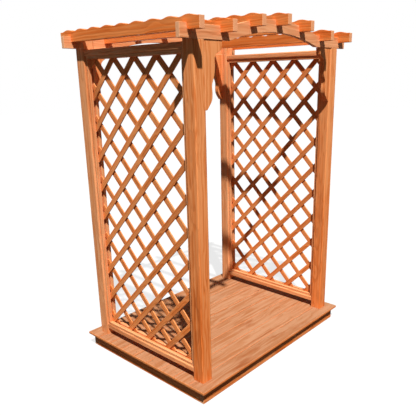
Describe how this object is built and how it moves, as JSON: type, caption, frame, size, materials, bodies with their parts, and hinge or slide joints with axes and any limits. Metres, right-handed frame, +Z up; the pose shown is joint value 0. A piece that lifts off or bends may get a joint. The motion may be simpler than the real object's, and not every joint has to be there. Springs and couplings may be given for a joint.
{
  "type": "garden arbor",
  "caption": "Cedar-coloured garden arbor with lattice sides, arched headers, scalloped rafters and wavy corner brackets, standing on its own low deck.",
  "frame": {"origin": "centre of the rectangle the arbor covers, at ground level under the deck", "axes": "+Z up; +X across the walkway towards the right-hand lattice side; +Y along the walkway towards the back, so the pictured front is on the -Y side"},
  "size_m": [1.722, 1.296, 2.3939],
  "materials": {
    "deck": "oiled boards, slightly dusty",
    "base_frame": "stained, rough sawn",
    "posts_and_rails": "translucent orange stain, satin",
    "lattice": "translucent orange stain, satin",
    "roof_timber": "translucent orange stain, satin"
  },
  "bodies": {
    "root": {"deck_boards": "deck", "front_skirt": "base_frame", "back_skirt": "base_frame", "left_skirt": "base_frame", "right_skirt": "base_frame", "deck_joists": "base_frame", "front_left_post": "posts_and_rails", "front_right_post": "posts_and_rails", "back_left_post": "posts_and_rails", "back_right_post": "posts_and_rails", "left_bottom_rail": "posts_and_rails", "left_top_rail": "posts_and_rails", "left_outer_stops": "posts_and_rails", "left_inner_stops": "posts_and_rails", "left_lattice": "lattice", "right_bottom_rail": "posts_and_rails", "right_top_rail": "posts_and_rails", "right_outer_stops": "posts_and_rails", "right_inner_stops": "posts_and_rails", "right_lattice": "lattice", "front_header": "roof_timber", "back_header": "roof_timber", "rafter_1": "roof_timber", "rafter_2": "roof_timber", "rafter_3": "roof_timber", "rafter_4": "roof_timber", "rafter_5": "roof_timber", "rafter_6": "roof_timber", "rafter_7": "roof_timber", "front_left_bracket": "posts_and_rails", "front_right_bracket": "posts_and_rails", "back_left_bracket": "posts_and_rails", "back_right_bracket": "posts_and_rails"}
  },
  "joints": []
}
